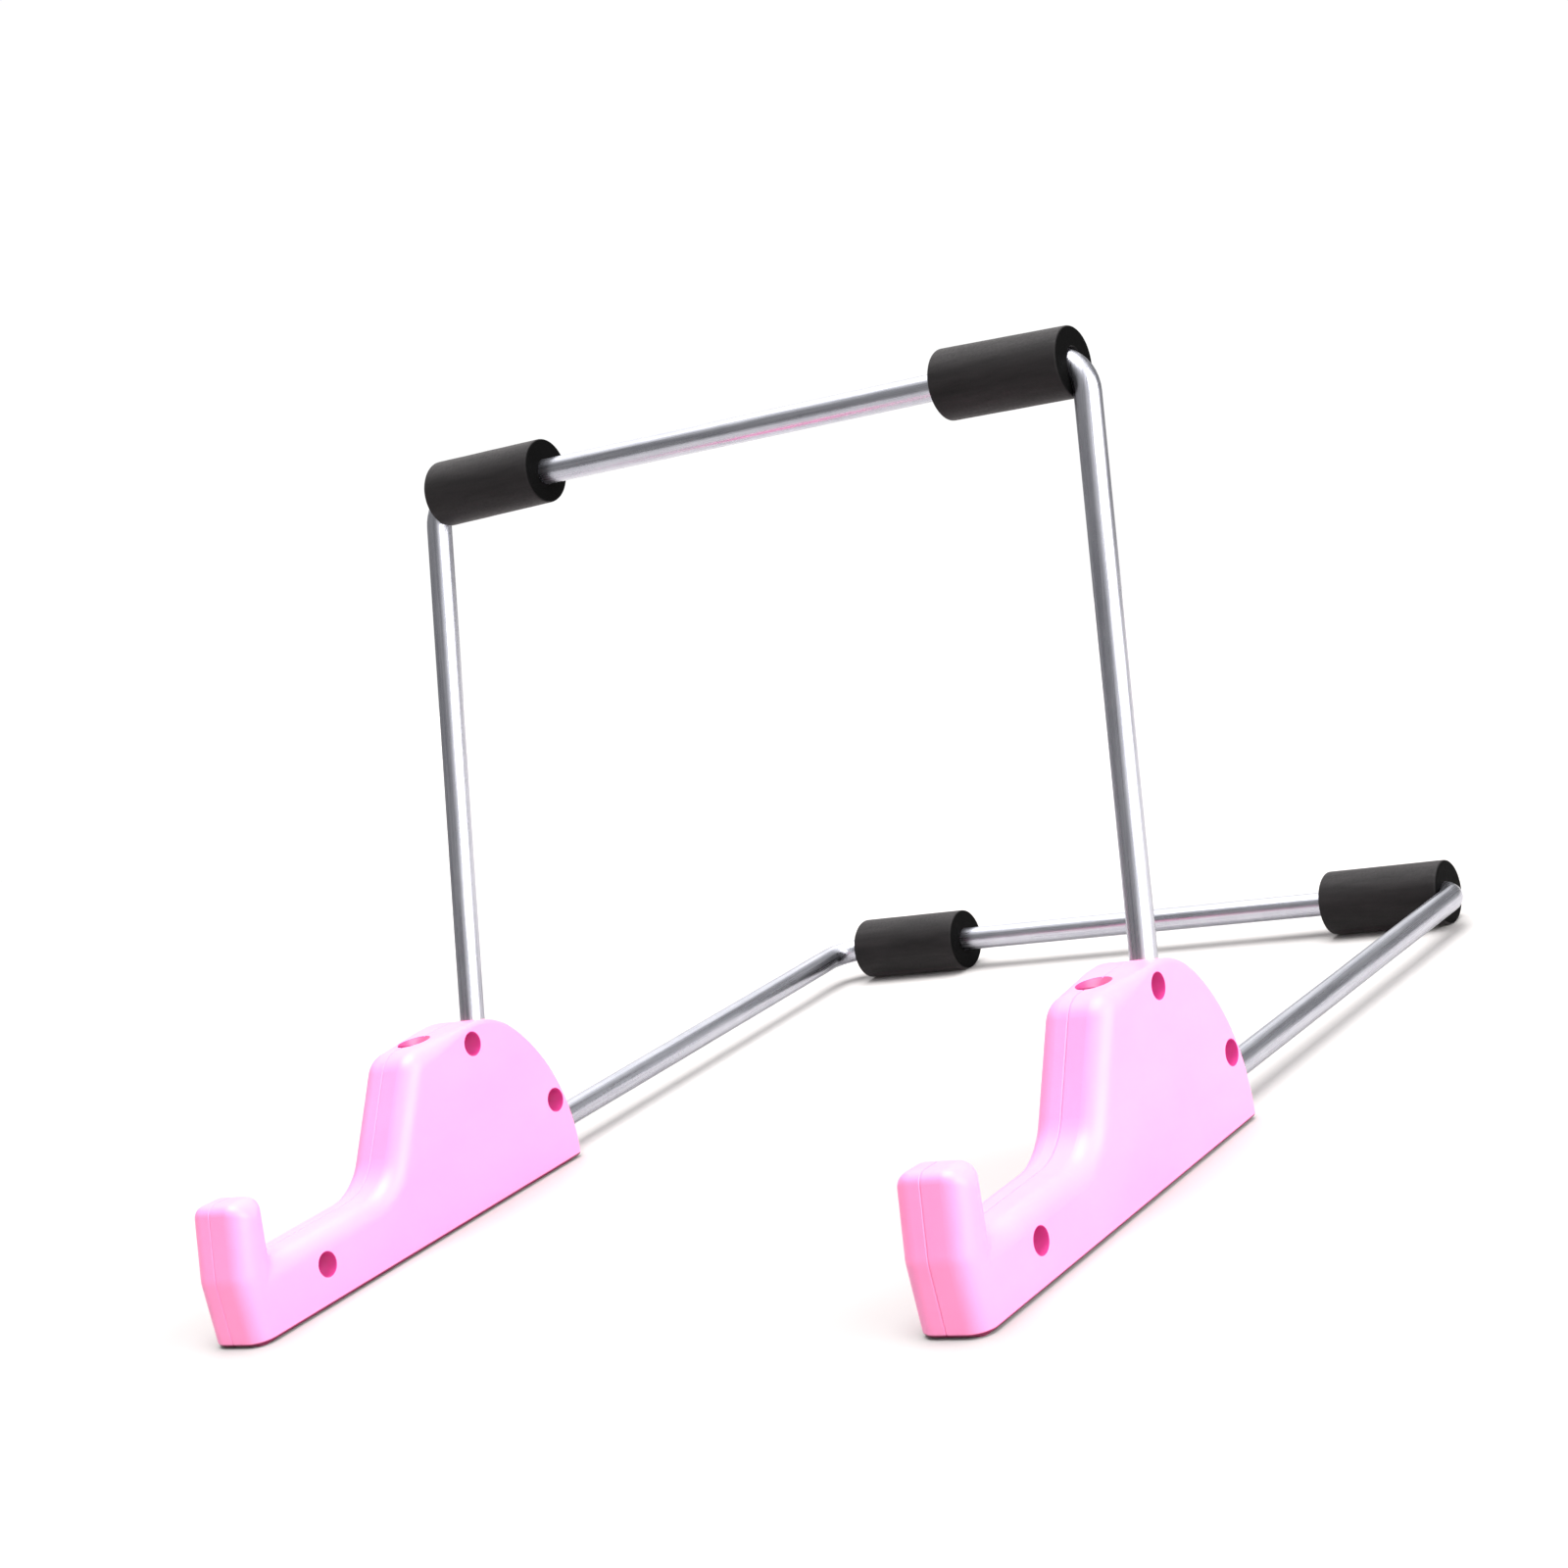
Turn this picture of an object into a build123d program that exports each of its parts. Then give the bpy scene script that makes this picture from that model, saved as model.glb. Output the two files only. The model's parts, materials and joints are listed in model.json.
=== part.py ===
from build123d import *
from math import asin, cos, radians, sin, sqrt, tan
import os

# Knock-down desk stand for a tablet, a laptop or a book: two hooked feet, an upright bent rod,
# a rear bent rod and four foam sleeves. Millimetres. +Z is up, +Y runs from the hooks to the
# rear bar and +X runs across. The origin is on the table, in the middle of the stand.
# The foot is drawn in its own place first, with its front at Y 0, its sole pad at Z 0 and the
# plane where its two halves meet at X 0.

# ---- driving dimensions: rods ----
ROD_RADIUS = 3.0
BEND_RADIUS = 8.0  # centre line of the rods' corners
LEG_SPACING = 184.0  # middle of one foot to middle of the other
RUNNING_CLEARANCE = 0.06  # radial, rod in socket and rod in sleeve
BEND_CLEARANCE = 0.2  # radial, where a sleeve reaches over a corner of its rod
ROD_END_CHAMFER = 0.5
UPRIGHT_SPLAY = -1.2  # each of its corners stands this much wider than the sockets
REAR_SPLAY = 1.0
SPLAY_BEND_RADIUS = 60.0  # of the slight bend in each leg just outside its foot
SPLAY_BEND_REACH = 4.0  # from the foot to that bend
ROD_END_GAP = 0.2  # between a rod's end and the bottom of its socket
LEAN = 16.2  # degrees that the upright rod leans back
TOP_BAR_HEIGHT = 162.9
REAR_BAR_Y = 257.4

# ---- driving dimensions: feet ----
OUTER_THICKNESS = 8.8  # of the half that the screws go in through
INNER_THICKNESS = 7.1
WALL = 2.0
FRONT_KINK_HEIGHT = 15.2  # where the hook's front starts to lean back
HOOK_TIP = (3.9, 31.2)
HOOK_BACK = (13.2, 30.8)
HOOK_FOOT = (10.9, 16.4)
SLOPE_FOOT_Y = 51.2  # where the ledge would meet the slope without its curve
CREST_FRONT_Y = 68.8
CREST_HEIGHT = 42.9
DOME_CENTRE = (76.3, 7.3)
DOME_RADIUS = 41.4
KINK_RADIUS = 8.0
SLOPE_FOOT_RADIUS = 14.0
CREST_FRONT_RADIUS = 7.0
CREST_END_RADIUS = 20.0
HOOK_TIP_RADIUS = 2.6
HOOK_INSIDE_RADIUS = 2.4
SOFT_EDGE = 4.5  # rounding where a hand or the device meets the foot
CRISP_EDGE = 1.3  # rounding round the back of the dome
SOLE_EDGE = 0.9
SOLE_PAD_HEIGHT = 0.45  # the foot stands on a low pad, set in from its outline
SOLE_PAD_INSET = 1.6
PARTING_BEVEL = 0.25  # on each half, so that the joint shows as a fine groove
SOFT_END_Y = 73.0  # the soft rounding runs to here
CRISP_START_Y = 88.0  # and has become the crisp one here

UPRIGHT_MOUTH_Y = 100.85
SPARE_MOUTH_Y = 78.2
SOCKET_DEPTH = 27.0
REAR_SOCKET_DEPTH = 30.0
REAR_SOCKET_HEIGHT = 8.0
SOCKET_WALL = 2.0
RIB_THICKNESS = 1.6
RIB_SHARES = (0.2, 0.75)  # how far down its socket each rib stands
MOUTH_FLARE = 0.5  # chamfer at the spare socket's mouth

SCREW_PLACES = {"front": (25.0, 9.3), "top": (89.1, 38.4), "rear": (112.4, 16.0)}
SCREW_RECESS_RADIUS = 2.85
SCREW_SEAT_X = 2.2  # underside of the head
SCREW_HEAD_RADIUS = 2.6
SCREW_HEAD_HEIGHT = 1.9
SCREW_THREAD_RADIUS = 1.45
SCREW_LENGTH = 7.6
SCREW_TIP_LENGTH = 1.2
SCREW_TIP_WIDTH = 0.96
SCREW_SLOT = (0.7, 3.2, 0.9)  # width, length and depth of the cross in the head
HOLE_FIT = 0.08  # radial, screw in the hole of either half
BOSS_RADIUS = 4.4
PIN_PLACES = ((6.6, 22.0), (60.5, 11.5), (79.0, 8.0))
PIN_RADIUS = 1.3
PIN_LENGTH = 2.5
PIN_BOSS_RADIUS = 2.8
PIN_FIT = 0.08

# ---- driving dimensions: sleeves ----
SLEEVE_RADIUS = 8.0
SLEEVE_LENGTH = 32.0
SLEEVE_EDGE = 0.9
TOP_SLEEVE_INNER_X = 56.3  # from the middle of the bar to a sleeve's inner end
REAR_LEFT_SLEEVE_INNER_X = 52.0
REAR_RIGHT_SLEEVE_INNER_X = 57.9

# ---- worked out from the above ----
MIDDLE_X = (OUTER_THICKNESS - INNER_THICKNESS) / 2
MIDDLE_Y = (REAR_BAR_Y + SLEEVE_RADIUS) / 2
BORE_RADIUS = ROD_RADIUS + RUNNING_CLEARANCE
DOME_Y, DOME_Z = DOME_CENTRE
SOLE_DROP = DOME_Z - SOLE_PAD_HEIGHT
SOLE_END_Y = DOME_Y + sqrt(DOME_RADIUS**2 - SOLE_DROP**2)
CREST_END_Y = DOME_Y + sqrt(DOME_RADIUS**2 - (CREST_HEIGHT - DOME_Z) ** 2)
UPRIGHT_MOUTH_Z = DOME_Z + sqrt(DOME_RADIUS**2 - (UPRIGHT_MOUTH_Y - DOME_Y) ** 2)
REAR_MOUTH_Y = DOME_Y + sqrt(DOME_RADIUS**2 - (REAR_SOCKET_HEIGHT - DOME_Z) ** 2)
LEAN_DIRECTION = Vector(0, sin(radians(LEAN)), cos(radians(LEAN)))
BACKWARD = Vector(0, 1, 0)
UPRIGHT_MOUTH = Vector(0, UPRIGHT_MOUTH_Y, UPRIGHT_MOUTH_Z)
SPARE_MOUTH = Vector(0, SPARE_MOUTH_Y, CREST_HEIGHT)
REAR_MOUTH = Vector(0, REAR_MOUTH_Y, REAR_SOCKET_HEIGHT)
TOP_BAR_Y = UPRIGHT_MOUTH_Y + (TOP_BAR_HEIGHT - UPRIGHT_MOUTH_Z) * tan(radians(LEAN))
SOCKETS = (
    (UPRIGHT_MOUTH, LEAN_DIRECTION, SOCKET_DEPTH),
    (SPARE_MOUTH, LEAN_DIRECTION, SOCKET_DEPTH),
    (REAR_MOUTH, BACKWARD, REAR_SOCKET_DEPTH),
)
HOOK_CORNERS = (
    (HOOK_TIP, HOOK_TIP_RADIUS),
    (HOOK_BACK, HOOK_INSIDE_RADIUS),
    (HOOK_FOOT, HOOK_INSIDE_RADIUS),
)
FAR = 400.0
NEAR = 0.3
EXACT = 1e-4


def round_corner(face, corner, radius):
    """Rounds the corner of a flat face that lies at or nearest to a point."""
    vertex = face.vertices().sort_by_distance(Vector(*corner, 0))[0]
    return fillet(vertex, radius)


def foot_outline():
    """Side view of the foot, but with the hook's three corners still sharp."""
    top = asin((CREST_HEIGHT - DOME_Z) / DOME_RADIUS)
    bottom = -asin(SOLE_DROP / DOME_RADIUS)
    middle = (top + bottom) / 2
    arc_middle = (DOME_Y + DOME_RADIUS * cos(middle), DOME_Z + DOME_RADIUS * sin(middle))
    toe = (0, SOLE_PAD_HEIGHT)
    kink = (0, FRONT_KINK_HEIGHT)
    slope_foot = (SLOPE_FOOT_Y, HOOK_FOOT[1])
    crest_front = (CREST_FRONT_Y, CREST_HEIGHT)
    crest_end = (CREST_END_Y, CREST_HEIGHT)
    heel = (SOLE_END_Y, SOLE_PAD_HEIGHT)
    front = Polyline(toe, kink, HOOK_TIP, HOOK_BACK, HOOK_FOOT, slope_foot, crest_front, crest_end)
    dome = ThreePointArc(crest_end, arc_middle, heel)
    sole = Line(heel, toe)
    face = make_face([*front.edges(), dome.edge(), sole.edge()])
    face = round_corner(face, crest_end, CREST_END_RADIUS)
    face = round_corner(face, slope_foot, SLOPE_FOOT_RADIUS)
    face = round_corner(face, crest_front, CREST_FRONT_RADIUS)
    return round_corner(face, kink, KINK_RADIUS)


def outer_edges(body):
    """Edges round the flat side of a half, without the one along the sole."""
    side = body.faces().sort_by(Axis.X)[-1]
    return [edge for edge in side.edges() if edge.center().Z > SOLE_PAD_HEIGHT + NEAR]


def crosswise_edge(body, corner):
    """The straight edge that runs across the foot at a corner of the side view."""

    def runs_here(edge):
        centre = edge.center()
        across = abs(edge.tangent_at(0.5).X) > 0.99
        return across and abs(centre.Y - corner[0]) < NEAR and abs(centre.Z - corner[1]) < NEAR

    return [edge for edge in body.edges() if runs_here(edge)]


def sole_edges(body):
    """Edges round the sole, without the one where the two halves meet."""
    sole = body.faces().sort_by(Axis.Z)[0]
    return [edge for edge in sole.edges() if edge.center().X > NEAR]


def sole_pad(thickness):
    """The low pad that one half stands on, reaching a little into the half."""
    width = thickness - SOLE_PAD_INSET
    length = SOLE_END_Y - 2 * SOLE_PAD_INSET
    height = SOLE_PAD_HEIGHT + SOLE_EDGE
    pad = Pos(width / 2, SOLE_END_Y / 2, height / 2) * Box(width, length, height)
    corners = [edge for edge in pad.edges().filter_by(Axis.Z) if edge.center().X > NEAR]
    return fillet(corners, SOLE_PAD_INSET)


def bevel_parting(body):
    """A fine bevel all round where the two halves meet."""
    return chamfer([edge for edge in body.edges() if edge.bounding_box().max.X < EXACT], PARTING_BEVEL)


def between(body, low_y, high_y):
    """The stretch of a body between two distances from the front."""
    slab = Pos(0, (low_y + high_y) / 2, 0) * Box(FAR, high_y - low_y, FAR)
    return body & slab


def cut_face(body, y):
    """The flat face that a cut across the foot left at a distance from the front."""
    here = [face for face in body.faces() if abs(face.center().Y - y) < EXACT]
    return max(here, key=lambda face: face.area)


def half_block(thickness):
    """One half of a foot as a solid block, with all its roundings, on the +X side."""
    blank = extrude(Plane.YZ * foot_outline(), thickness)
    soft = fillet(outer_edges(blank), SOFT_EDGE)
    for corner, radius in HOOK_CORNERS:
        soft = fillet(crosswise_edge(soft, corner), radius)
    soft = bevel_parting(fillet(sole_edges(soft), SOLE_EDGE))
    crisp = fillet(outer_edges(blank), CRISP_EDGE)
    crisp = bevel_parting(fillet(sole_edges(crisp), SOLE_EDGE))
    front = between(soft, -FAR, SOFT_END_Y)
    rear = between(crisp, CRISP_START_Y, FAR)
    blend = loft([cut_face(front, SOFT_END_Y), cut_face(rear, CRISP_START_Y)], ruled=True)
    return front + blend + rear


def cavity(thickness):
    """The hollow inside one half."""
    inner = offset(foot_outline(), -WALL, kind=Kind.INTERSECTION)
    hollow = extrude(Plane.YZ * inner, thickness - WALL)
    return fillet(outer_edges(hollow), SOFT_EDGE - WALL)


def across(place, radius, start_x, end_x):
    """A round bar across the foot at a place in the side view."""
    y, z = place
    plane = Plane(origin=(start_x, y, z), z_dir=(1, 0, 0))
    return plane * Cylinder(radius, end_x - start_x, align=(Align.CENTER, Align.CENTER, Align.MIN))


def along(start, direction, radius, length):
    """A round bar from a point in a direction."""
    plane = Plane(origin=start, z_dir=direction)
    return plane * Cylinder(radius, length, align=(Align.CENTER, Align.CENTER, Align.MIN))


def socket_tube(mouth, direction, depth):
    """The tube and its two ribs that hold a rod, before the bore is cut."""
    tube_radius = BORE_RADIUS + SOCKET_WALL
    bottom = mouth - direction * (depth + SOCKET_WALL)
    tube = along(bottom, direction, tube_radius, depth + 2 * SOCKET_WALL)
    for share in RIB_SHARES:
        place = Plane(origin=mouth - direction * (depth * share), x_dir=(1, 0, 0), z_dir=direction)
        tube += place * Box(2 * OUTER_THICKNESS, 2 * tube_radius, RIB_THICKNESS)
    return tube


def bores():
    """All that the rods and the spare socket's flared mouth take out of a foot."""
    tools = []
    for mouth, direction, depth in SOCKETS:
        tools.append(along(mouth - direction * depth, direction, BORE_RADIUS, depth + FAR / 10))
    flare_reach = 4 * MOUTH_FLARE
    flare = Cone(BORE_RADIUS, BORE_RADIUS + flare_reach, flare_reach)
    plane = Plane(origin=SPARE_MOUTH + LEAN_DIRECTION * MOUTH_FLARE, z_dir=LEAN_DIRECTION)
    tools.append(plane * flare)
    return tools


def ribbed_half(thickness):
    """A hollow half with its posts for screws and pins and its tubes for the rods, all uncut."""
    block = half_block(thickness)
    posts = [across(place, BOSS_RADIUS, 0, thickness) for place in SCREW_PLACES.values()]
    posts += [across(place, PIN_BOSS_RADIUS, 0, thickness) for place in PIN_PLACES]
    posts += [socket_tube(*socket) for socket in SOCKETS]
    shell = block - cavity(thickness)
    for post in posts:
        shell += post & block
    return shell + sole_pad(thickness)


def outer_half():
    """The half that the screws go in through."""
    shell = ribbed_half(OUTER_THICKNESS)
    for place in SCREW_PLACES.values():
        shell -= across(place, SCREW_RECESS_RADIUS, SCREW_SEAT_X, FAR)
        shell -= across(place, SCREW_THREAD_RADIUS + HOLE_FIT, -1, SCREW_SEAT_X + 1)
    for place in PIN_PLACES:
        shell -= across(place, PIN_RADIUS + PIN_FIT, -1, PIN_LENGTH + PIN_FIT)
    for tool in bores():
        shell -= tool
    return shell


def inner_half():
    """The half with the screw pilots and the locating pins, on the -X side."""
    shell = ribbed_half(INNER_THICKNESS)
    pilot_depth = SCREW_LENGTH - SCREW_SEAT_X + HOLE_FIT
    for place in SCREW_PLACES.values():
        shell -= across(place, SCREW_THREAD_RADIUS + HOLE_FIT, -1, pilot_depth)
    for tool in bores():
        shell -= tool
    for place in PIN_PLACES:
        shell += across(place, PIN_RADIUS, -PIN_LENGTH, 1)
    return mirror(shell, Plane.YZ)


def screw():
    """A pan-headed self-tapping screw, its head's underside at X 0, pointing to -X."""
    head = across((0, 0), SCREW_HEAD_RADIUS, 0, SCREW_HEAD_HEIGHT)
    head = fillet(head.edges().sort_by(Axis.X)[-1], SCREW_HEAD_HEIGHT / 2)
    slot_width, slot_length, slot_depth = SCREW_SLOT
    for turn in (0, 90):
        bar = Rot(turn, 0, 0) * Box(2 * slot_depth, slot_width, slot_length)
        head -= Pos(SCREW_HEAD_HEIGHT, 0, 0) * bar
    shank = across((0, 0), SCREW_THREAD_RADIUS, -SCREW_LENGTH, 0)
    shank = chamfer(shank.edges().sort_by(Axis.X)[0], SCREW_TIP_LENGTH, SCREW_TIP_WIDTH)
    return head + shank


def rod_path(end, bend, bar, splay):
    """Centre line of a rod, from points in the side view: straight in each socket, then to the crossbar."""
    socket_x = LEG_SPACING / 2
    bar_x = socket_x + splay
    leg = ((socket_x, end), (socket_x, bend), (bar_x, bar))
    half = [Vector(x, place.Y, place.Z) for x, place in leg]
    other = [Vector(-point.X, point.Y, point.Z) for point in half]
    radii = (SPLAY_BEND_RADIUS, BEND_RADIUS, BEND_RADIUS, SPLAY_BEND_RADIUS)
    return FilletPolyline(*other, *reversed(half), radius=radii)


def swept(path, radius):
    """A round bar along a path."""
    section = Plane(origin=path @ 0, z_dir=path % 0) * Circle(radius)
    return sweep(section, path)


def rod(path):
    """A bent rod with chamfered ends."""
    bar = swept(path, ROD_RADIUS)
    ends = [edge for edge in bar.edges() if edge.geom_type == GeomType.CIRCLE and is_end(edge, path)]
    return chamfer(ends, ROD_END_CHAMFER)


def is_end(edge, path):
    """Whether a circular edge lies at either end of a path."""
    return min((edge.arc_center - path @ 0).length, (edge.arc_center - path @ 1).length) < NEAR


def sleeve(inner_x, side, bar, path):
    """A foam tube on a crossbar, cut out where it reaches over the rod's corner."""
    start = Vector(side * inner_x, bar.Y, bar.Z)
    direction = Vector(side, 0, 0)
    tube = along(start, direction, SLEEVE_RADIUS, SLEEVE_LENGTH)
    tube = fillet(tube.edges().filter_by(GeomType.CIRCLE), SLEEVE_EDGE)
    tube -= along(start - direction, direction, BORE_RADIUS, SLEEVE_LENGTH + 2)
    bend_start_x = path.bounding_box().max.X - BEND_RADIUS
    if inner_x + SLEEVE_LENGTH > bend_start_x:
        tube -= swept(path, ROD_RADIUS + BEND_CLEARANCE)
    return tube


def write(part, name):
    """Moves a part from the foot's place to the stand's and writes it."""
    export_step(Pos(-MIDDLE_X, -MIDDLE_Y, 0) * part, "parts/" + name + ".step")


os.makedirs("parts", exist_ok=True)

outer = outer_half()
inner = inner_half()
fastener = screw()
for foot_side, foot_x in (("left", -LEG_SPACING / 2), ("right", LEG_SPACING / 2)):
    write(Pos(foot_x, 0, 0) * outer, foot_side + "_foot_outer_half")
    write(Pos(foot_x, 0, 0) * inner, foot_side + "_foot_inner_half")
    for screw_name, (screw_y, screw_z) in SCREW_PLACES.items():
        placed = Pos(foot_x + SCREW_SEAT_X, screw_y, screw_z) * fastener
        write(placed, foot_side + "_foot_" + screw_name + "_screw")

upright_end = UPRIGHT_MOUTH - LEAN_DIRECTION * (SOCKET_DEPTH - ROD_END_GAP)
upright_bend = UPRIGHT_MOUTH + LEAN_DIRECTION * SPLAY_BEND_REACH
upright_bar = Vector(0, TOP_BAR_Y, TOP_BAR_HEIGHT)
upright_path = rod_path(upright_end, upright_bend, upright_bar, UPRIGHT_SPLAY)
rear_end = REAR_MOUTH - BACKWARD * (REAR_SOCKET_DEPTH - ROD_END_GAP)
rear_bend = REAR_MOUTH + BACKWARD * SPLAY_BEND_REACH
rear_bar = Vector(0, REAR_BAR_Y, REAR_SOCKET_HEIGHT)
rear_path = rod_path(rear_end, rear_bend, rear_bar, REAR_SPLAY)
write(rod(upright_path), "upright_rod")
write(rod(rear_path), "rear_rod")

for side_name, side in (("left", -1), ("right", 1)):
    top_sleeve = sleeve(TOP_SLEEVE_INNER_X, side, upright_bar, upright_path)
    write(top_sleeve, "top_" + side_name + "_sleeve")
for side_name, side, inner_x in (
    ("left", -1, REAR_LEFT_SLEEVE_INNER_X),
    ("right", 1, REAR_RIGHT_SLEEVE_INNER_X),
):
    rear_sleeve = sleeve(inner_x, side, rear_bar, rear_path)
    write(rear_sleeve, "rear_" + side_name + "_sleeve")
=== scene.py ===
import json
import math

import bpy
from mathutils import Matrix, Vector, noise


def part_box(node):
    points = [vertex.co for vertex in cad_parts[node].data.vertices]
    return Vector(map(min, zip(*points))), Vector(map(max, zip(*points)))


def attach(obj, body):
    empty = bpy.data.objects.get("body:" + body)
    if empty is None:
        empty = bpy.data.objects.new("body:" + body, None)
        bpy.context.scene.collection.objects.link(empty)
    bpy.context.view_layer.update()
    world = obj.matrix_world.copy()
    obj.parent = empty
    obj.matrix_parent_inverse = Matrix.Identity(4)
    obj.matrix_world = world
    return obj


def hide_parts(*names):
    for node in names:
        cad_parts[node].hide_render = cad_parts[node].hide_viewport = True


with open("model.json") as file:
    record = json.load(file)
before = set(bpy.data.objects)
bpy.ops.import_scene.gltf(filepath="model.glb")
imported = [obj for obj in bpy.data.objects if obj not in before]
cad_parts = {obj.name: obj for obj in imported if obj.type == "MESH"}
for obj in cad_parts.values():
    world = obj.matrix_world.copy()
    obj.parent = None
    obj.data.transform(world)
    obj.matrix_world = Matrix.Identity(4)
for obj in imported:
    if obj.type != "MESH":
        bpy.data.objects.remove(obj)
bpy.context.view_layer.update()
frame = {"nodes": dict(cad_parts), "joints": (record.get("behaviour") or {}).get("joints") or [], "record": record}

MM = 0.001

# ---- taken from the frame ----
NODES = frame["nodes"]
MOUNTS = frame["record"]["mounts"]
LEAN = next(Vector(joint["axis"]) for joint in frame["joints"] if joint["name"] == "upright_pull")
FORWARD = Vector((0, -1, 0))
rear_low, rear_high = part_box("rear_rod")
ROD_RADIUS = (rear_high.z - rear_low.z) / 2
SPARE_SOCKETS = [Vector(mount["pos_m"]) for mount in MOUNTS if mount["kind"] == "bore"]
SCREW_PLACES = [
    sum(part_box("right_foot_" + place + "_screw"), Vector()) / 2 for place in ("front", "top", "rear")
]

# ---- as the CAD makes them ----
BEND_RADIUS = 8 * MM  # centre line of the rods' corners
RECESS_RADIUS = 2.85 * MM
SOCKET_RADIUS = 3.06 * MM
SOCKET_MOUTH_RADIUS = 3.56 * MM
SOCKET_HALF = 13.75 * MM  # from the middle of a spare socket up to its mouth

# ---- foam sleeves ----
BORE_GAP = 0.04 * MM  # radial, between a rod and the foam
SLEEVE_BORE = ROD_RADIUS + BORE_GAP
SLEEVE_EDGE = 0.6 * MM  # rounding of a cut end's outer edge
SLEEVE_LIP = 0.25 * MM  # rounding where the bore comes out
SLEEVE_SEGMENTS = 96
LENGTH_STEPS = 44
END_STEPS = 5
STEEPEST_REACH = 0.9  # share of the rod's corner radius, past which a bore turns no further
PRESS_FADE = 1.5  # how fast the corner's push on the bore dies away towards the skin
LUMP_DEPTH = 0.06 * MM
LUMP_SCALE = 160  # of the noise, per metre
LUMP_ROUND = 0.012  # radius of the circle that the lumps are sampled on
LUMP_SHIFT = 50  # sets the lumps of the top and the rear sleeves apart

# ---- colours ----
PINK_DEEP = (0.90, 0.24, 0.475)
PINK_LIGHT = (0.93, 0.27, 0.515)
# painted shade: the darker pink inside the screw recesses, where little light reaches
PINK_RECESS_SHADE = (0.68, 0.058, 0.29, 1)
# painted shade: the dark pink inside the bores and mouths of the spare sockets
PINK_SOCKET_SHADE = (0.40, 0.03, 0.15, 1)
# painted shade: the dark line along the bottom edge, for the shadow in the gap under the sole
SOLE_SHADE_COLOUR = (0.20, 0.012, 0.06, 1)
SOLE_SHADE_FADES = 1.2 * MM  # the painted shade along the table has faded out above this height
SOLE_SHADE_FULL = 0.95 * MM
ALUMINIUM_DARK = (0.395, 0.40, 0.455)
ALUMINIUM_LIGHT = (0.615, 0.62, 0.67)
FOAM_BLACK = (0.002, 0.002, 0.002)
FOAM_DARK = (0.0062, 0.0055, 0.0058)
FOAM_RUBBED = (0.0142, 0.0125, 0.0131)
ZINC_DARK = (0.52, 0.53, 0.55)
ZINC_LIGHT = (0.72, 0.73, 0.74)
# painted shade: the floor is darker in front, standing in for the dimmer light there
PAPER_FRONT_SHADED = (0.355, 0.348, 0.345)
PAPER_BACK = (0.47, 0.453, 0.447)

# ---- floor and light ----
FLOOR_HALF = 0.8  # half the floor's side, in metres
TENT_DIM = 0.30
BACKDROP_WHITE = 1.02
TENT_PATCHES = (  # direction, angle where it has faded out, angle where it is full, added brightness
    ((0.96, -0.09, 0.26), 38, 15, 6.6),
    ((0.93, -0.25, 0.20), 72, 5, 0.9),
    ((0.0, 0.1, 1.0), 55, 25, 1.0),
    ((-0.55, 0.5, 0.67), 42, 22, 1.2),
)


def rod_middle(node_name):
    low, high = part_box(node_name)
    return (low.x + high.x) / 2


def bar_half(node_name):
    """Half the straight length of a rod's cross bar, up to where its corners start."""
    low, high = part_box(node_name)
    return (high.x - low.x) / 2 - ROD_RADIUS - BEND_RADIUS


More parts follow.
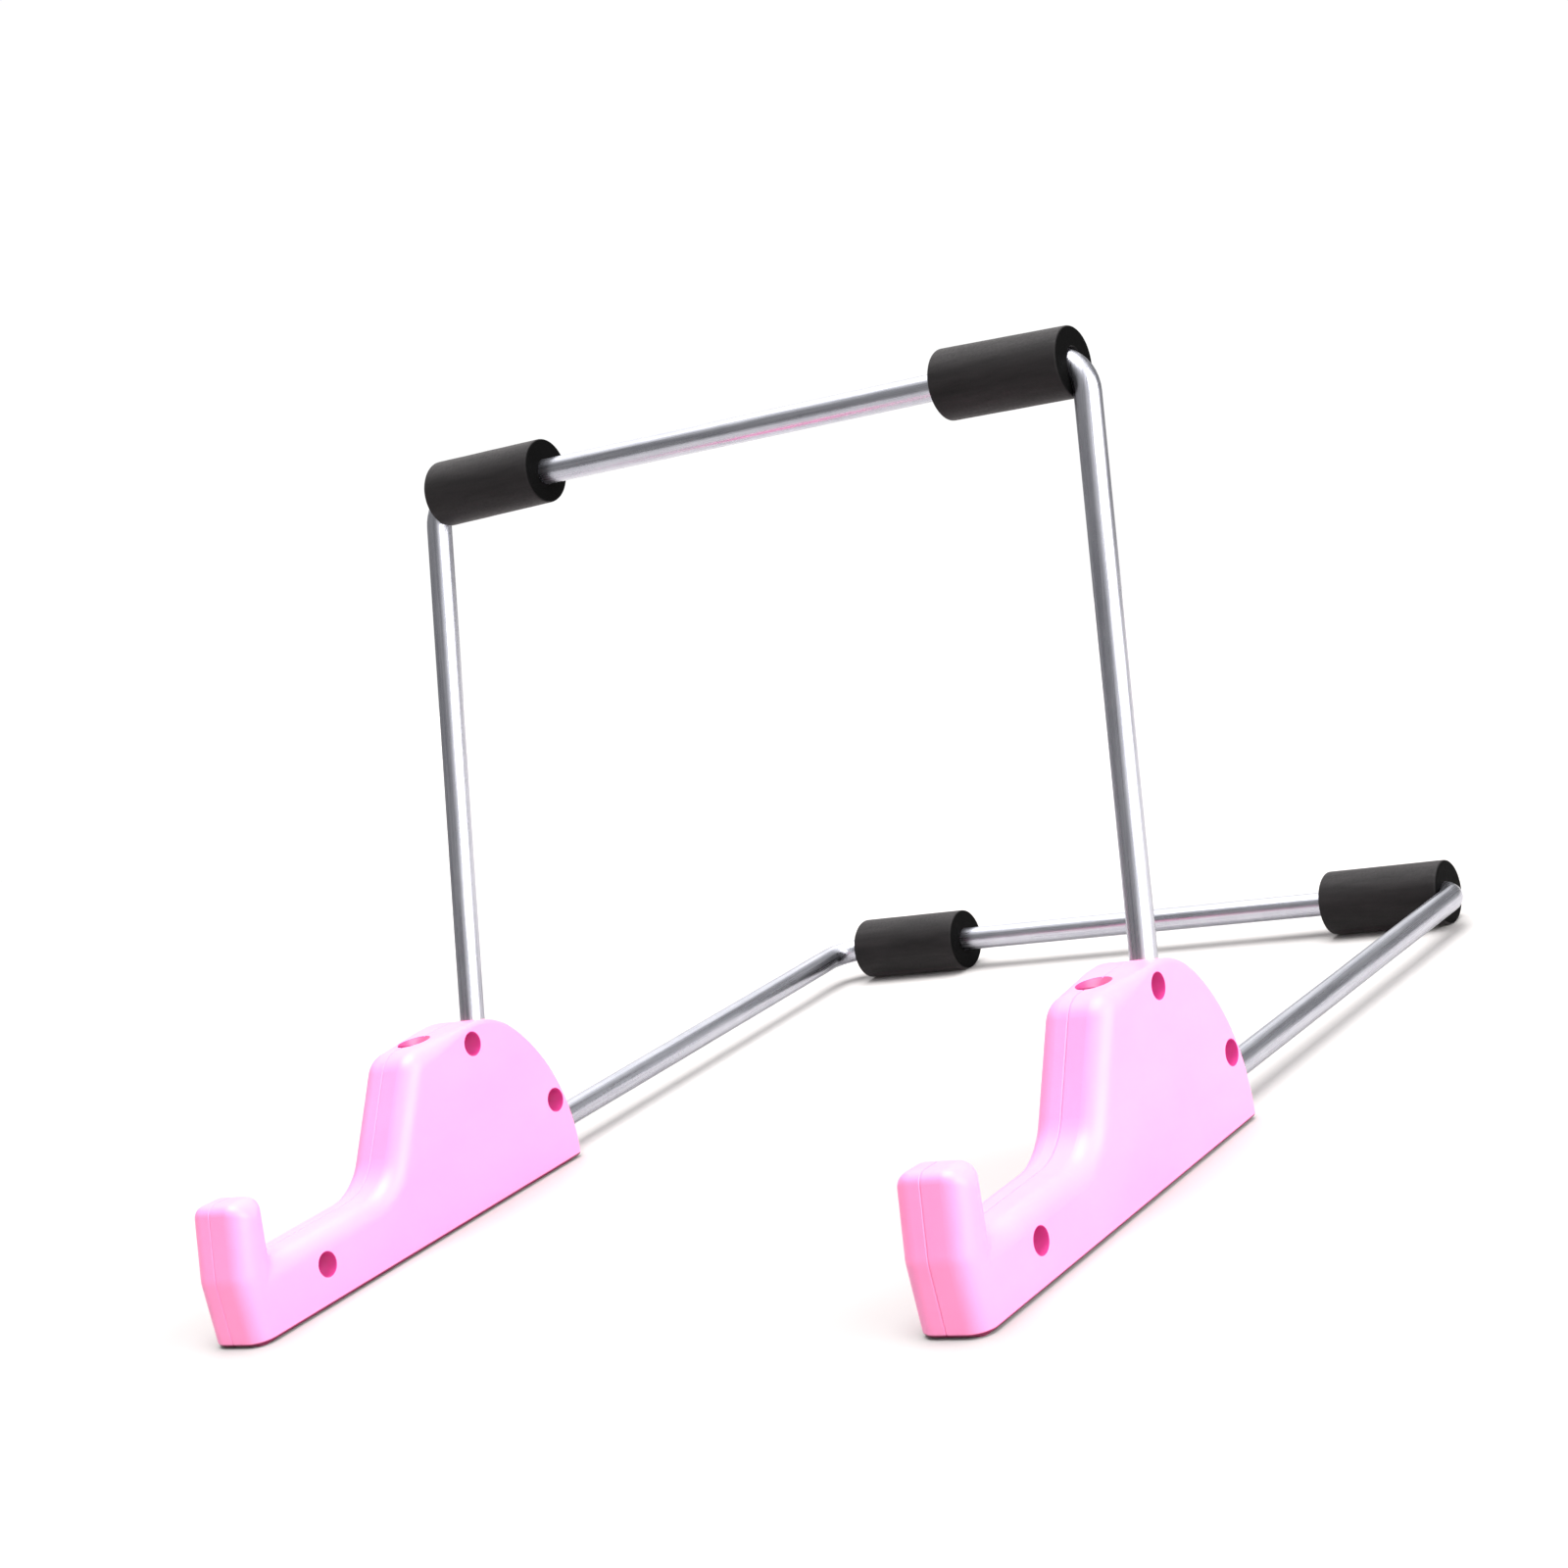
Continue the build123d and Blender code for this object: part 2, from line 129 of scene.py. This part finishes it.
# ---- node helpers ----
class Graph:
    """A material's node tree, with short ways to add and join nodes."""

    def __init__(self, name):
        self.material = bpy.data.materials.new(name)
        self.material.use_nodes = True
        self.tree = self.material.node_tree
        self.shader = self.tree.nodes["Principled BSDF"]

    def node(self, kind, settings=None, **inputs):
        made = self.tree.nodes.new(kind)
        for key, value in (settings or {}).items():
            setattr(made, key, value)
        for key, value in inputs.items():
            self.feed(made, key.replace("_", " "), value)
        return made

    def feed(self, node, socket, value):
        """Joins a value's socket to a node's input, or sets a plain value on it."""
        target = node.inputs[int(socket)] if socket.isdigit() else node.inputs[socket]
        if isinstance(value, bpy.types.NodeSocket):
            self.tree.links.new(value, target)
        else:
            target.default_value = value

    def surface(self, **inputs):
        """Feeds the shader's own inputs."""
        for key, value in inputs.items():
            self.feed(self.shader, key.replace("_", " "), value)

    def math(self, operation, first, second=0.0, third=0.0):
        made = self.node("ShaderNodeMath", {"operation": operation})
        for index, value in enumerate((first, second, third)):
            self.feed(made, str(index), value)
        return made.outputs[0]

    def vector_math(self, operation, first, second=None):
        made = self.node("ShaderNodeVectorMath", {"operation": operation})
        self.feed(made, "0", first)
        if second is not None:
            self.feed(made, "1", second)
        return made.outputs

    def ramp(self, factor, *stops):
        made = self.node("ShaderNodeValToRGB", Fac=factor)
        elements = made.color_ramp.elements
        while len(elements) < len(stops):
            elements.new(0.5)
        for element, (place, colour) in zip(elements, stops):
            element.position = place
            element.color = (*colour, 1)
        return made.outputs["Color"]

    def fade(self, value, start, end):
        """0 where the value is at the start and 1 where it is at the end."""
        return self.node("ShaderNodeMapRange", Value=value, From_Min=start, From_Max=end).outputs["Result"]

    def noise(self, vector, scale, detail=2.0, roughness=0.5):
        made = self.node("ShaderNodeTexNoise", Vector=vector, Scale=scale, Detail=detail, Roughness=roughness)
        return made.outputs["Fac"]

    def object_place(self):
        return self.node("ShaderNodeTexCoord").outputs["Object"]

    def mapped(self, vector, **changes):
        return self.node("ShaderNodeMapping", Vector=vector, **changes).outputs["Vector"]

    def stretched(self, scale):
        return self.mapped(self.object_place(), Scale=scale)

    def part(self, vector, axis):
        return self.node("ShaderNodeSeparateXYZ", Vector=vector).outputs[axis]

    def blend(self, factor, first, second):
        """One colour where the factor is 0 and the other where it is 1."""
        made = self.node("ShaderNodeMix", {"data_type": "RGBA"})
        self.tree.links.new(factor, made.inputs[0])
        by_kind = {(socket.name, socket.type): socket for socket in made.inputs}
        self.tree.links.new(first, by_kind[("A", "RGBA")])
        by_kind[("B", "RGBA")].default_value = second
        return next(socket for socket in made.outputs if socket.type == "RGBA")

    def bump(self, height, strength, distance, normal=None):
        made = self.node("ShaderNodeBump", Height=height, Strength=strength, Distance=distance)
        if normal:
            self.feed(made, "Normal", normal)
        return made.outputs["Normal"]


def grey(value):
    return (value, value, value)


# ---- materials ----
def distance_from_axis(g, place, point, direction):
    """How far a place is from a line, and how far along the line it is from the point."""
    offset = g.vector_math("SUBTRACT", place, point)["Vector"]
    turned = g.vector_math("CROSS_PRODUCT", offset, direction)["Vector"]
    away = g.vector_math("LENGTH", turned)["Value"]
    along = g.vector_math("DOT_PRODUCT", offset, direction)["Value"]
    return away, along


def inside(g, beyond):
    """1 where a place is inside a hole, from how far it is outside the nearest wall."""
    nearest = beyond[0]
    for other in beyond[1:]:
        nearest = g.math("MINIMUM", nearest, other)
    return g.fade(nearest, 0.16 * MM, 0.04 * MM)


def in_screw_recesses(g, place):
    """Both feet have their screws at the same heights, so the right foot's places serve both."""
    beyond = []
    for middle in SCREW_PLACES:
        away, _ = distance_from_axis(g, place, middle, (1, 0, 0))
        beyond.append(g.math("SUBTRACT", away, RECESS_RADIUS))
    return inside(g, beyond)


def in_spare_sockets(g, place):
    """The bores of the empty sockets, and their flared mouths, which widen as fast as they rise."""
    beyond = []
    for middle in SPARE_SOCKETS:
        away, along = distance_from_axis(g, place, middle, LEAN)
        beyond.append(g.math("SUBTRACT", away, SOCKET_RADIUS))
        flare = g.math("SUBTRACT", away, g.math("SUBTRACT", along, SOCKET_HALF))
        beyond.append(g.math("SUBTRACT", flare, SOCKET_MOUTH_RADIUS))
    return inside(g, beyond)


def pink_plastic(half):
    """Satin moulded plastic: fine sparked grain, faint sink marks and flow streaks, with painted shade in the
    holes.

    Only the outer halves have screw recesses. The thin dark line along the table is painted shade for the gap at
    the sole."""
    g = Graph("shell_plastic_" + half)
    place = g.stretched((1, 1, 1))
    grain = g.noise(place, scale=5200, detail=3, roughness=0.6)
    pebble = g.noise(place, scale=1700, detail=2, roughness=0.5)
    sink = g.noise(place, scale=42, detail=2, roughness=0.4)
    flow = g.noise(g.stretched((60, 18, 60)), scale=1.0, detail=3, roughness=0.55)
    rubbed = g.noise(place, scale=160, detail=4, roughness=0.6)
    tone = g.math("MULTIPLY_ADD", flow, 0.6, g.math("MULTIPLY", sink, 0.4))
    colour = g.ramp(tone, (0.3, PINK_DEEP), (0.7, PINK_LIGHT))
    if half == "outer":
        # Painted shade: the screw recesses get a deeper, darker pink, standing in for the shade inside them.
        colour = g.blend(in_screw_recesses(g, place), colour, PINK_RECESS_SHADE)
    # Painted shade: the bores and flared mouths of the spare sockets get a dark pink, standing in for the shade
    # inside them.
    colour = g.blend(in_spare_sockets(g, place), colour, PINK_SOCKET_SHADE)
    # Painted shade: a dark band along the bottom edge, close to the table, for the shadow in the gap at the sole.
    sole_shade = g.fade(g.part(place, "Z"), SOLE_SHADE_FADES, SOLE_SHADE_FULL)
    normal = g.bump(grain, strength=0.22, distance=0.06 * MM)
    normal = g.bump(pebble, strength=0.25, distance=0.05 * MM, normal=normal)
    g.surface(
        Base_Color=g.blend(sole_shade, colour, SOLE_SHADE_COLOUR),
        Roughness=g.ramp(rubbed, (0.3, grey(0.36)), (0.75, grey(0.46))),
        Normal=g.bump(sink, strength=0.35, distance=0.5 * MM, normal=normal),
        IOR=1.49,
        Subsurface_Weight=0.12,
        Subsurface_Radius=(1.0, 0.45, 0.6),
        Subsurface_Scale=1.2 * MM,
    )
    return g.material


def drawn_aluminium(node_name, leg_direction):
    """Drawn aluminium: fine and broad lines along the bar and along the legs, with faint blotches."""
    g = Graph("rod_aluminium_" + node_name)
    position = g.object_place()
    tilt = math.atan2(leg_direction.y, leg_direction.z)
    turned = g.mapped(position, Rotation=(tilt, 0, 0))
    from_middle = g.math("ABSOLUTE", g.math("SUBTRACT", g.part(position, "X"), rod_middle(node_name)))
    bend_start = bar_half(node_name)
    on_leg = g.fade(from_middle, bend_start, bend_start + BEND_RADIUS - ROD_RADIUS)

    def lines(length, width):
        """Lines drawn out along the bar, and along the legs."""
        on_bar = g.noise(g.stretched((1 / length, 1 / width, 1 / width)), scale=1.0, detail=4, roughness=0.6)
        leg_place = g.mapped(turned, Scale=(1 / width, 1 / width, 1 / length))
        down_leg = g.noise(leg_place, scale=1.0, detail=4, roughness=0.6)
        mixed = g.node("ShaderNodeMix", {"data_type": "FLOAT"}, Factor=on_leg, A=on_bar, B=down_leg)
        return mixed.outputs["Result"]

    fine = lines(20 * MM, 0.2 * MM)
    broad = lines(45 * MM, 0.9 * MM)
    blotch = g.noise(position, scale=200, detail=4, roughness=0.6)
    coarse = g.math("MULTIPLY_ADD", broad, 0.4, g.math("MULTIPLY", blotch, 0.15))
    tone = g.math("MULTIPLY_ADD", fine, 0.45, coarse)
    normal = g.bump(fine, strength=0.35, distance=0.04 * MM)
    g.surface(
        Base_Color=g.ramp(tone, (0.36, ALUMINIUM_DARK), (0.64, ALUMINIUM_LIGHT)),
        Roughness=g.ramp(broad, (0.3, grey(0.23)), (0.72, grey(0.34))),
        Normal=g.bump(broad, strength=0.3, distance=0.1 * MM, normal=normal),
        Metallic=1.0,
    )
    return g.material


def black_foam():
    """Closed-cell foam tube: matt skin with slight handling marks, and blacker cut ends."""
    g = Graph("sleeve_foam")
    place = g.stretched((1, 1, 1))
    cells = g.node("ShaderNodeTexVoronoi", {"feature": "F1"}, Vector=place, Scale=3800).outputs["Distance"]
    pits = g.noise(place, scale=1500, detail=3, roughness=0.65)
    marks = g.noise(g.stretched((50, 330, 330)), scale=1.0, detail=4, roughness=0.6)
    facing = g.node("ShaderNodeNewGeometry").outputs["Normal"]
    endways = g.math("ABSOLUTE", g.part(facing, "X"))
    skin = g.fade(endways, 0.9, 0.45)
    tone = g.math("MULTIPLY", marks, g.math("MULTIPLY_ADD", skin, 0.8, 0.2))
    normal = g.bump(cells, strength=0.25, distance=0.06 * MM)
    normal = g.bump(pits, strength=0.3, distance=0.08 * MM, normal=normal)
    g.surface(
        Base_Color=g.ramp(tone, (0.1, FOAM_BLACK), (0.36, FOAM_DARK), (0.68, FOAM_RUBBED)),
        Roughness=g.ramp(pits, (0.3, grey(0.50)), (0.75, grey(0.70))),
        Specular_IOR_Level=g.math("MULTIPLY_ADD", skin, 0.12, 0.02),
        Sheen_Weight=g.math("MULTIPLY", skin, 0.085),
        Sheen_Roughness=0.45,
        Sheen_Tint=(1.0, 0.93, 0.94, 1),
        Normal=g.bump(marks, strength=0.4, distance=0.2 * MM, normal=normal),
    )
    return g.material


def zinc_steel():
    """Zinc plating on the screws, with turning marks."""
    g = Graph("screw_steel")
    place = g.stretched((1, 1, 1))
    bloom = g.noise(place, scale=900, detail=4, roughness=0.6)
    rings = g.node("ShaderNodeTexWave", {"wave_type": "RINGS"}, Vector=place, Scale=1800.0, Distortion=2.0)
    g.surface(
        Base_Color=g.ramp(bloom, (0.3, ZINC_DARK), (0.7, ZINC_LIGHT)),
        Roughness=g.ramp(bloom, (0.3, grey(0.25)), (0.7, grey(0.42))),
        Normal=g.bump(rings.outputs["Fac"], strength=0.15, distance=0.03 * MM),
        Metallic=1.0,
    )
    return g.material


def floor_paper():
    """Matt paper floor, with painted shade making it a little darker towards the front."""
    g = Graph("floor_paper")
    place = g.stretched((1, 1, 1))
    fibre = g.noise(place, scale=900, detail=4, roughness=0.6)
    # Painted shade: the paper darkens towards the front, standing in for less light in front of the stand.
    back = g.fade(g.part(place, "Y"), -0.2, 0.05)
    tone = g.math("MULTIPLY_ADD", fibre, 0.1, g.math("MULTIPLY", back, 0.9))
    g.surface(
        Base_Color=g.ramp(tone, (0.0, PAPER_FRONT_SHADED), (1.0, PAPER_BACK)),
        Roughness=0.9,
        Specular_IOR_Level=0.1,
    )
    return g.material


def coat(node_name, material):
    """Gives a CAD node its material."""
    for slot in NODES[node_name].material_slots:
        slot.material = material


# ---- making the sleeves ----
def sleeve_profile(length, radius):
    """Closed outline of a sleeve's section, as distance along it and radius, starting inside the bore."""
    quarter = [math.pi / 2 * step / END_STEPS for step in range(END_STEPS + 1)]
    flat_start = SLEEVE_BORE + SLEEVE_LIP
    flat_span = radius - SLEEVE_EDGE - flat_start
    end = [(SLEEVE_LIP - SLEEVE_LIP * math.sin(a), flat_start - SLEEVE_LIP * math.cos(a)) for a in quarter]
    end += [(0, flat_start + flat_span * step / END_STEPS) for step in range(1, END_STEPS)]
    end += [
        (SLEEVE_EDGE - SLEEVE_EDGE * math.cos(a), radius - SLEEVE_EDGE + SLEEVE_EDGE * math.sin(a))
        for a in quarter
    ]
    steps = range(1, LENGTH_STEPS)
    span = length - 2 * SLEEVE_EDGE
    skin = [(SLEEVE_EDGE + span * step / LENGTH_STEPS, radius) for step in steps]
    far_end = [(length - x, r) for x, r in reversed(end)]
    span = length - 2 * SLEEVE_LIP
    bore = [(length - SLEEVE_LIP - span * step / LENGTH_STEPS, SLEEVE_BORE) for step in steps]
    return end + skin + far_end + bore


def bend_offset(past, around, down):
    """How far the bore moves towards the legs at a distance past the start of the rod's corner."""
    if past <= 0:
        return 0.0
    past = min(past, BEND_RADIUS * STEEPEST_REACH)
    drop = BEND_RADIUS - math.sqrt(BEND_RADIUS**2 - past**2)
    slope = math.asin(past / BEND_RADIUS)
    wider = SLEEVE_BORE * (1 / math.cos(slope) - 1)
    return drop + wider * around.dot(down)


def between(ends, share):
    return ends[0] + (ends[1] - ends[0]) * share


def foam_sleeve(node_name, rod_name, body, down, sag=(0.0, 0.0), slimmer=(0.0, 0.0)):
    """A soft tube in the place of a CAD sleeve, with its bore pressed over the start of the rod's corner.

    The sag and the loss of radius are given for its inner and its outer end."""
    low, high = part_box(node_name)
    centre = (low + high) / 2
    length = high.x - low.x
    radius = (high.z - low.z) / 2
    outward = 1 if centre.x > 0 else -1
    inner_end = low.x if outward > 0 else high.x
    middle = rod_middle(rod_name)
    straight = bar_half(rod_name)
    side = Vector((1, 0, 0)).cross(down)
    lump_shift = Vector((centre.z * LUMP_SHIFT, 0, 0))
    profile = sleeve_profile(length, radius)
    vertices = []
    for distance, ring_radius in profile:
        x = inner_end + outward * distance
        past = abs(x - middle) - straight
        share = distance / length
        skin = min((ring_radius - SLEEVE_BORE) / (radius - SLEEVE_BORE), 1.0)
        for segment in range(SLEEVE_SEGMENTS):
            angle = 2 * math.pi * segment / SLEEVE_SEGMENTS
            around = down * math.cos(angle) + side * math.sin(angle)
            lump = noise.noise(Vector((x, *(around * LUMP_ROUND).yz)) * LUMP_SCALE + lump_shift)
            thinner = between(slimmer, share) + LUMP_DEPTH * (0.5 + 0.5 * lump)
            moved = ring_radius * around
            moved += down * bend_offset(past, around, down) * (1 - skin) ** PRESS_FADE
            moved -= around * skin * thinner
            moved += down * between(sag, share) * skin
            vertices.append((x, centre.y + moved.y, centre.z + moved.z))
    rings = len(profile)
    faces = []
    for ring in range(rings):
        after = (ring + 1) % rings
        for segment in range(SLEEVE_SEGMENTS):
            beside = (segment + 1) % SLEEVE_SEGMENTS
            corners = [(ring, segment), (after, segment), (after, beside), (ring, beside)]
            face = [r * SLEEVE_SEGMENTS + s for r, s in corners]
            faces.append(face if outward > 0 else face[::-1])
    mesh = bpy.data.meshes.new(node_name + "_foam")
    mesh.from_pydata(vertices, [], faces)
    mesh.shade_smooth()
    mesh.materials.append(FOAM)
    piece = bpy.data.objects.new(node_name + "_foam", mesh)
    bpy.context.scene.collection.objects.link(piece)
    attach(piece, body)
    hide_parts(node_name)


OUTER_PLASTIC = pink_plastic("outer")
INNER_PLASTIC = pink_plastic("inner")
FOAM = black_foam()
ZINC = zinc_steel()
for name in NODES:
    if name.endswith("_outer_half"):
        coat(name, OUTER_PLASTIC)
    elif name.endswith("_inner_half"):
        coat(name, INNER_PLASTIC)
    elif name.endswith("_screw"):
        coat(name, ZINC)
coat("upright_rod", drawn_aluminium("upright_rod", LEAN))
coat("rear_rod", drawn_aluminium("rear_rod", -FORWARD))

foam_sleeve(
    "top_left_sleeve", "upright_rod", "top_left_foam", -LEAN,
    sag=(-0.3 * MM, 0.1 * MM), slimmer=(0.4 * MM, 0.15 * MM),
)
foam_sleeve(
    "top_right_sleeve", "upright_rod", "top_right_foam", -LEAN,
    sag=(0.05 * MM, 0.9 * MM), slimmer=(0.1 * MM, 0.25 * MM),
)
foam_sleeve("rear_left_sleeve", "rear_rod", "rear_left_foam", FORWARD)
foam_sleeve("rear_right_sleeve", "rear_rod", "rear_right_foam", FORWARD)


# ---- floor, light and camera ----
def floor():
    mesh = bpy.data.meshes.new("floor")
    corners = [(x * FLOOR_HALF, y * FLOOR_HALF, 0) for x, y in ((-1, -1), (1, -1), (1, 1), (-1, 1))]
    mesh.from_pydata(corners, [], [(0, 1, 2, 3)])
    mesh.materials.append(floor_paper())
    plane = bpy.data.objects.new("floor", mesh)
    bpy.context.scene.collection.objects.link(plane)


def overhead():
    """A broad soft light straight above the table."""
    light = bpy.data.lights.new("overhead", "SUN")
    light.energy = 4.2
    light.angle = math.radians(45)
    lamp = bpy.data.objects.new("overhead", light)
    bpy.context.scene.collection.objects.link(lamp)


def surround():
    """A white tent round a table: what the camera sees past the table is plain white. In light and
    reflections the tent is dim, with bright patches on the right, front right, above and back left."""
    world = bpy.data.worlds.new("studio")
    bpy.context.scene.world = world
    world.use_nodes = True
    tree = world.node_tree
    background = tree.nodes["Background"]
    background.inputs["Color"].default_value = (1, 1, 1, 1)
    direction = tree.nodes.new("ShaderNodeTexCoord").outputs["Generated"]
    total = None
    for towards, fades_at, full_at, gain in TENT_PATCHES:
        facing = tree.nodes.new("ShaderNodeVectorMath")
        facing.operation = "DOT_PRODUCT"
        facing.inputs[1].default_value = Vector(towards).normalized()
        tree.links.new(direction, facing.inputs[0])
        patch = tree.nodes.new("ShaderNodeMapRange")
        patch.interpolation_type = "SMOOTHSTEP"
        patch.inputs["From Min"].default_value = math.cos(math.radians(fades_at))
        patch.inputs["From Max"].default_value = math.cos(math.radians(full_at))
        patch.inputs["To Max"].default_value = gain
        tree.links.new(facing.outputs["Value"], patch.inputs["Value"])
        added = tree.nodes.new("ShaderNodeMath")
        added.operation = "ADD"
        tree.links.new(patch.outputs["Result"], added.inputs[0])
        if total:
            tree.links.new(total, added.inputs[1])
        else:
            added.inputs[1].default_value = TENT_DIM
        total = added.outputs[0]
    path = tree.nodes.new("ShaderNodeLightPath")
    pick = tree.nodes.new("ShaderNodeMix")
    pick.data_type = "FLOAT"
    tree.links.new(path.outputs["Is Camera Ray"], pick.inputs["Factor"])
    tree.links.new(total, pick.inputs["A"])
    pick.inputs["B"].default_value = BACKDROP_WHITE
    tree.links.new(pick.outputs["Result"], background.inputs["Strength"])


def camera():
    """The viewpoint: low, from the right of the hooks, with the camera rolled about its own axis."""
    azimuth, elevation, roll = (math.radians(angle) for angle in (35.8, 8.88, -14.12))
    target = Vector((-0.04715, 0.0520, 0.0715))
    distance = 0.8065
    reach = math.cos(elevation)
    back = Vector((math.sin(azimuth) * reach, -math.cos(azimuth) * reach, math.sin(elevation)))
    level = (-back).cross(Vector((0, 0, 1))).normalized()
    upward = level.cross(-back)
    right = math.cos(roll) * level + math.sin(roll) * upward
    up = -math.sin(roll) * level + math.cos(roll) * upward
    data = bpy.data.cameras.new("camera")
    data.sensor_width = 36
    data.lens = 73.9
    data.clip_start = 0.01
    data.clip_end = 50
    eye = bpy.data.objects.new("camera", data)
    turn = Matrix((right, up, back)).transposed().to_4x4()
    eye.matrix_world = Matrix.Translation(target + back * distance) @ turn
    bpy.context.scene.collection.objects.link(eye)
    bpy.context.scene.camera = eye


floor()
surround()
overhead()
camera()
bpy.context.scene.view_settings.view_transform = "Standard"
